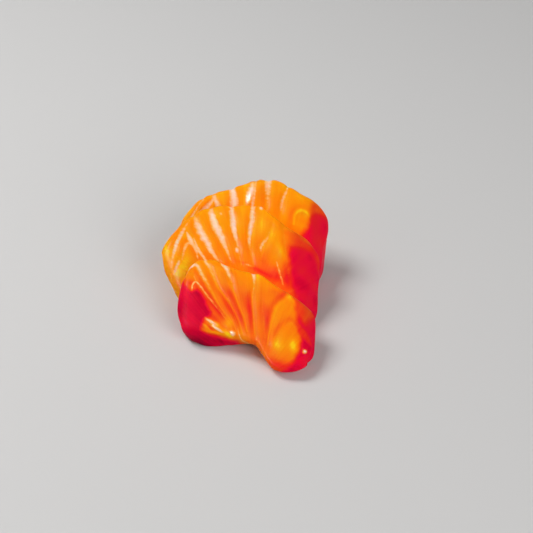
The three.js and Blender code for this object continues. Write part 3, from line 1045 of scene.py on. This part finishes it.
MIDDLE_LINES = (
    FatLine(((-24.4, 28.8), (-26.6, 26.4), (-28.2, 24.2), (-29.6, 22), (-30.7, 19.6), (-31.4, 17)),
        (0.8, 1.8, 1.6, 1.1), (0.3, 0.65, 0.75, 0.35), groove=0.4),
    FatLine(((-28.4, 17.8), (-29.9, 15.4), (-31.4, 13)), (1.3, 1.3, 0.8), (0.6, 0.6, 0.3), groove=0.6),
    FatLine(((-23.4, 23.2), (-25.2, 22.6), (-26.5, 20.6), (-27.2, 18.2)),
        (1.8, 1.4, 0.9), (0.5, 0.5, 0.3), groove=0.3),
    FatLine(((-25.4, 25.6), (-23.5, 23.3), (-21.6, 21.4), (-20.8, 19.2)),
        (1.1, 2.5, 1.7, 0.8), (0.5, 0.75, 0.6, 0.4), groove=0.5),
    FatLine(((-22.6, 24.4), (-21, 21.9), (-18.4, 19.6), (-16, 17.9)),
        (0.8, 1.5, 0.8), (0.5, 0.7, 0.5), groove=0.5),
    FatLine((
        (-23.2, 31.2), (-21.6, 28.6), (-19.8, 26.2), (-17.5, 24), (-15.6, 21.9), (-13.6, 20.1), (-11.6, 18.4),
    ), (0.9, 3.2, 3.4, 2.1, 0.7), (0.25, 0.8, 0.88, 0.8, 0.4)),
    FatLine((
        (-15.9, 34), (-15.6, 31.4), (-14.5, 29.2), (-12.8, 27.1), (-11, 24.8), (-9.3, 22.4), (-7.4, 19.7),
    ), (1.5, 3, 3.6, 2.7, 1.5, 0.7), (0.35, 0.85, 0.9, 0.85, 0.65, 0.35)),
    FatLine(((-7.6, 35.2), (-7.2, 32.4), (-6.9, 29.6), (-6, 27), (-5.1, 24.4), (-4.3, 21.8), (-3.5, 19.6)),
        (1.6, 2.3, 2.5, 1.5, 0.8, 0.7), (0.5, 0.8, 0.9, 0.6, 0.35, 0.25)),
    FatLine(((1.2, 36.2), (0.9, 33.4), (0.4, 30.6), (-0.2, 28), (-0.4, 25.2), (0.2, 22.8), (1.2, 20.4)),
        (1.8, 2.1, 2, 1.5, 0.9, 0.7), (0.6, 0.75, 0.8, 0.65, 0.2, 0.1)),
    FatLine(((8.6, 31.6), (7.4, 28.8), (5.6, 26.8), (4.2, 25), (4.9, 22.5)),
        (1.4, 1.4, 1), (0, 0.35, 0.5, 0.1), groove=0.4),
    FatLine(((13.4, 31.6), (13.4, 28.8), (14, 26), (14.8, 22.5), (15.3, 19)),
        (1.2, 1.2), (0.2, 0.1), groove=0.7),
    FatLine(((10.4, 22.4), (11.3, 20.6), (12.1, 18.9), (12.9, 17.1)),
        (0.8, 1.1, 0.9), (0.45, 0.3), groove=0.5),
)
MIDDLE_PATCHES = (
    Patch(7, 30.2, 2.6, 3.4, -0.05, -20),
    Patch(12.4, 25.4, 1.3, 2.6, -0.3, 12, rise=0.35),
    # painted shadow: these three redden the face where the front slice's crest lies against it
    Patch(-1, 20, 3.2, 0.5, 0.25, -8),
    Patch(3.6, 19, 4, 0.9, 0.22, -12),
    Patch(7.8, 18.6, 4.2, 3.4, 0.27, -20),
    Patch(5.6, 22.5, 1.4, 2.4, 0.12),
    # painted shade: these four redden the flesh towards the front slice's crest and the shaded right end
    Patch(10.8, 18.6, 2.8, 2.2, 0.1, -30),
    Patch(14.4, 22.6, 1.4, 5, 0.14, 6),
    Patch(14.6, 27.6, 1.8, 5, 0.26, 4),
    Patch(14.6, 18.5, 1.8, 4, 0.3, 6),
    # painted light: these two turn gold where the front slice shades the lower left
    Patch(-25.2, 17, 2.6, 4, -0.2),
    Patch(-28, 14, 4, 4.5, -0.22),
    Patch(-7.7, 33.9, 1, 0.6, pale=0.9),
    # painted highlight: a golden glint line where the front slice's crest meets this face
    Patch(-0.6, 19.9, 1.6, 0.45, -0.3, -4, pale=0.45),
    Patch(-35, 19, 2.5, 4, -0.25),
    # painted light: gold where the front slice shades the lower left
    Patch(-30, 16, 3.6, 5, -0.12),
    # painted highlight: a white glint dot, with a real glossy swelling under it
    Patch(-5.2, 23.2, 0.65, 0.9, rise=0.2, pale=0.95, wet=0.4),
    Patch(-11.8, 31.8, 0.6, 0.6, pale=0.5),
    Patch(-15.4, 31, 0.9, 1.5, rise=0.12, pale=0.9),
    Patch(-7.3, 30.6, 0.8, 1.4, rise=0.1, pale=0.9),
    # painted highlight: a white glint dot near the crest, with a real glossy swelling under it
    Patch(4.3, 35.3, 0.6, 0.6, rise=0.3, pale=0.9, wet=1),
    Patch(-6.1, 27.8, 0.7, 1.6, pale=0.85),
    Patch(4.6, 31.4, 1.2, 4.5, -0.12, -6),
    # painted shade: these two redden the crest as it turns to the shaded right end
    Patch(19.4, 30.8, 4.2, 1.5, 0.36, -4),
    Patch(27, 28, 3, 1.3, 0.24, -40),
    Patch(8.8, 28.4, 1.4, 4.5, -0.16, -12),
)
# painted shade: a red-orange fringe along the crest, and the crimson right end turned away from the light
MIDDLE_PAINTED_SHADES = (
    PaintedShade(0.62, 1.6, ((18.2, 31.6), (20, 29.8), (24, 29.6), (28, 27.8), (34, 24), (34, 42), (19, 42))),
    PaintedShade(0.88, 1.5, (
        (15.6, 27.2), (15.2, 25.8), (15.6, 23), (16, 20), (16.7, 17.4), (17.9, 14.5), (23, 7.4), (23, -15),
        (40, -15), (40, 12), (28, 21.6), (26.8, 24.2), (25.6, 25.8), (24.2, 27), (22, 27.6), (18.4, 27.6),
    )),
)
MIDDLE_SLICE = SalmonSlice(
    name="slice_middle",
    face=MIDDLE_FACE,
    behind=BACK_FACE,
    left=(-28.5, -27.5, -28, -36.6, -35.5),
    right=(28.4, 24, 17.4, 16.6, 29.5),
    undercut=Curve((-36, 6), (26, 6)),
    hue=Curve((0, 0.6), (0.4, 0.38), (0.6, 0.29), (0.85, 0.22), (1.1, 0.19)),
    end_light_shade_hue=(0.2, 0.7),
    end_blend=(1, 2),
    fan=(0.4, 13),
    seed=5,
    fat_lines=MIDDLE_LINES,
    patches=MIDDLE_PATCHES,
    painted_shades=MIDDLE_PAINTED_SHADES,
)

FRONT_LINES = (
    FatLine((
        (-26.2, 20.6), (-25, 22.4), (-23.2, 23.7), (-21.2, 24.1), (-19.4, 22.9), (-17, 20.5), (-14.1, 17.8),
        (-11.6, 15.4), (-8.5, 13.5), (-5.8, 11.5), (-4, 9),
    ), (1.1, 1.6, 1.8, 1, 0.8, 0.6), (0.7, 0.9, 0.5, 0.2, 0.12, 0.1, 0.08), -0.1, (0.16, -0.04), 0.7),
    FatLine((
        (-17.6, 26.4), (-17.2, 25.2), (-15.7, 23.9), (-14.2, 22), (-12.3, 19.8), (-9.9, 18.1), (-8, 16.8),
        (-6, 15.1), (-4.1, 13), (-2.9, 10.5),
    ), (1.8, 1.3, 0.9, 0.8, 0.7), (0.75, 0.3, 0.14, 0.1, 0.08), -0.12, (0.16, -0.02)),
    FatLine(((-10, 25.6), (-8.9, 24.4), (-8, 23), (-7.2, 21.6)),
        (2.7, 1.8, 0.8), (0.85, 0.75, 0.15), flank_shade=(0, 0)),
    FatLine(((-7.2, 21.6), (-5.7, 18.7), (-4, 16.4), (-2.2, 14), (-1.1, 11.2)),
        (0.8, 0.8, 0.6), (0.15, 0.06, 0.1), -0.14, (0.22, -0.04), 0.6),
    FatLine(((1.2, 26.2), (1.6, 23.8), (1.7, 22)), (1.8, 1.6, 0.8), (0.8, 0.75, 0.3), flank_shade=(0, -0.06)),
    FatLine(((1.7, 22), (0.9, 19.2), (1.3, 16), (1.7, 12.9), (2.4, 9.8)),
        (0.8, 0.8), (0.28, 0.1, 0.08), -0.1, (0.2, -0.06)),
    FatLine(((-4.6, 11.4), (-3.8, 9.6), (-2.6, 8.5), (0.2, 7.9), (2.6, 7.4)),
        (0.6, 0.7, 0.5), (0.2, 0.6, 0.4), flank_shade=(0, 0.1), groove=0),
    FatLine(((-21.7, 21.4), (-20.4, 19.9), (-17.7, 18.3), (-15, 16.7), (-11.8, 14.8), (-9.1, 12.9)),
        (0.8, 0.6), (0.35, 0.18), flank_shade=(0.06, 0), groove=0.6),
    FatLine((
        (-22.4, 17.6), (-22.3, 19.2), (-20.9, 20.2), (-19, 19.2), (-16.6, 17.4), (-14, 15.8), (-11, 14),
        (-8.4, 12.2), (-5.6, 9.6),
    ), (0.7, 0.9, 0.6), (0.6, 0.42, 0.25, 0.16), flank_shade=(0.1, 0), groove=0.6),
    FatLine(((-18.1, 20.4), (-14.2, 17.5), (-10.7, 14.9), (-8, 12.4)),
        (0.6, 0.6), (0.2, 0.12), flank_shade=(0.06, 0), groove=0.5),
    FatLine((
        (7, 9.4), (7.4, 12.1), (8.5, 15.3), (10.4, 18.6), (13.1, 20.6), (15.4, 21.8), (16.9, 20.7),
        (18, 18.6), (18.4, 16.4),
    ), (0.6, 0.8, 1.6, 1.2, 0.8), (0, 0.05, 0.12, 0.12, 0), redder=-0.14, flank_shade=(-0.06, 0.17), groove=0.6),
    FatLine(((10.6, 9.7), (10.8, 11.8), (12.2, 13.6), (14.4, 15.2), (15.7, 15.8), (17.2, 14.8), (18.6, 13.2)),
        (0.8, 1.2, 1.2, 0.9), (0, 0.05, 0.15, 0), flank_shade=(-0.06, 0.14), groove=0.5),
    FatLine(((4.7, 19.2), (5.1, 16.5), (5.5, 13.6), (5.9, 10.8)),
        (0.8, 0.8), (0.12, 0.12), flank_shade=(0.04, 0.08), groove=0.4),
)
FRONT_PATCHES = (
    Patch(5.4, 16.5, 2, 5, 0.12, 4),
    Patch(-2, 17.8, 1.7, 4.4, 0.24, 16),
    Patch(-6, 14.6, 1.6, 4.5, 0.08, 38),
    Patch(11, 21.6, 5.5, 3.2, 0.2),
    Patch(10, 22, 3.4, 1.6, 0.12, 6),
    Patch(3.4, 24.4, 1.8, 1.6, -0.12),
    Patch(-9.2, 19.2, 1.5, 2.6, 0.24, 30),
    Patch(-15.5, 16.2, 2.2, 2.4, 0.1),
    Patch(-2.9, 9.8, 1.3, 2.4, -0.24, 14),
    Patch(-7.4, 9, 1.6, 1, -0.2),
    Patch(9.4, 5.2, 3.2, 1.8, 0.12, -20),
    # painted shade: darker low on the shaded left end
    Patch(-23, 9.5, 6, 3.5, 0.08),
    Patch(6, 22.5, 5, 2.2, -0.1),
    # painted shade: red-orange at the top of the shaded left end
    Patch(-24, 19.6, 2.6, 1.4, 0.3),
    Patch(-14, 12.6, 3.6, 1.2, 0.2, -30),
    Patch(10.6, 9.9, 1.7, 2.4, -0.4, rise=0.12),
    Patch(16.8, 10.6, 1.3, 2.4, -0.42, rise=0.2),
    Patch(14, 10.6, 2.8, 3, -0.12),
    Patch(13.2, 12.2, 4.6, 6.4, -0.02, rise=1),
    Patch(12, 5.6, 4, 1.6, 0.2),
    Patch(15.4, 21.7, 1, 1.4, -0.3, rise=0.15),
    # painted highlight: a white glint on a petal, with a real glossy swelling under it
    Patch(-14.6, 11.4, 2, 0.5, -0.4, -24, rise=0.4, pale=0.85, wet=0.8),
    # painted shade: a red dip beside the petals
    Patch(-15, 10, 1.5, 0.5, 0.28, -30, rise=-0.2),
    # painted highlight: a white glint on a petal, with a real glossy swelling under it
    Patch(-12.2, 10.1, 1.8, 0.5, -0.45, -20, rise=0.6, pale=0.95, wet=1),
    Patch(-12.9, 11.1, 0.9, 0.7, -0.5, rise=0.2, pale=0.35),
    Patch(-9.7, 10.9, 0.9, 0.6, 0.1, rise=-0.2),
    Patch(-16.8, 10.2, 1.7, 0.45, -0.35, -36, rise=0.3, pale=0.2),
    Patch(-13.4, 9.1, 3.8, 0.4, -0.35, -2, rise=0.15, pale=0.15),
    Patch(-8.2, 12, 1.5, 1.8, -0.4, -20, rise=0.2),
    Patch(-8.6, 9.6, 2, 0.8, -0.4, -20, rise=0.1),
    # painted highlight: a white glint dot, with a real glossy swelling under it
    Patch(-6.4, 9.9, 0.8, 0.8, -0.3, rise=0.5, pale=1, wet=1),
    # painted highlight: a white glint dot on the right end, with a real glossy swelling under it
    Patch(20.7, 10, 0.6, 0.6, rise=0.35, pale=1, wet=1),
)
# painted shade: the left end lies in a painted cast shadow, the right end is turned away from the light, and
# the last two are lighter streaks at that shade's edge
FRONT_PAINTED_SHADES = (
    PaintedShade(0.93, 1.3, (
        (-31, 18.8), (-24.8, 18.8), (-22.8, 18), (-20.5, 18.7), (-18.9, 18.2), (-16.1, 15.2), (-14.9, 13.9),
        (-15.4, 12.8), (-17.2, 11.6), (-18.3, 10.4), (-18.3, 9.2), (-16.2, 8.6), (-9, 8.6), (-4.5, 8),
        (-4.5, -6), (-31, -6),
    )),
    PaintedShade(0.89, 1.4, (
        (16.9, 23.2), (18, 21.3), (18, 16.8), (18.8, 15.2), (19.6, 13.4), (19.2, 11.4), (18.4, 9.6),
        (16.4, 7.3), (13.8, 5.3), (11.5, 4.3), (6, 3), (6, -9), (36, -9), (36, 15), (26.5, 19), (20.5, 20.8),
    )),
    PaintedShade(0.66, 1.6, ((16.6, 21.8), (24.5, 20.6), (24.6, 18.2), (21, 16), (17.6, 18.2))),
    PaintedShade(0.72, 0.9, ((17.6, 15.9), (20.6, 15), (22.8, 13.4), (23.6, 11.6), (21.6, 12.4), (18.6, 13.6))),
)
FRONT_SLICE = SalmonSlice(
    name="slice_front",
    face=FRONT_FACE,
    behind=MIDDLE_FACE,
    left=(-27, -24, -27.2, -27.2, -26.5),
    right=(25.2, 20.2, 21.2, 20.2, 26.3),
    undercut=Curve(
        (-27, 2.4), (-22, 1.3), (-17, 0.7), (-12, 1.8), (-7, 4.4), (0, 6.6), (6, 5.8), (12, 4.6), (16, 5.6),
        (20, 6), (25, 5.4),
    ),
    lift=Curve((-27, 0), (-7, 0), (-3, 0.7), (0, 1.5), (3, 2.2), (4.7, 1.2), (7, 0), (25, 0)),
    hue=Curve((0, 0.44), (0.3, 0.46), (0.6, 0.4), (0.85, 0.3), (1.1, 0.25)),
    under_shade_hue=Curve((-27, 1), (-19, 1), (-13, 0.95), (-4, 0.92), (25, 0.92)),
    end_light_shade_hue=(0.9, 0.72),
    end_blend=(1.5, 0.8),
    fan=(2.5, 0.5),
    seed=8,
    fat_lines=FRONT_LINES,
    patches=FRONT_PATCHES,
    painted_shades=FRONT_PAINTED_SHADES,
)


def main() -> None:
    """Builds the camera, the studio and the slices."""
    logging.basicConfig(level=logging.INFO, format="%(message)s", stream=sys.stdout)
    Camera().build()
    Studio().build()
    flesh = SalmonFlesh().material()
    for piece in (BACK_SLICE, MIDDLE_SLICE, FRONT_SLICE):
        piece.build(flesh)


if __name__ == "__main__":
    main()
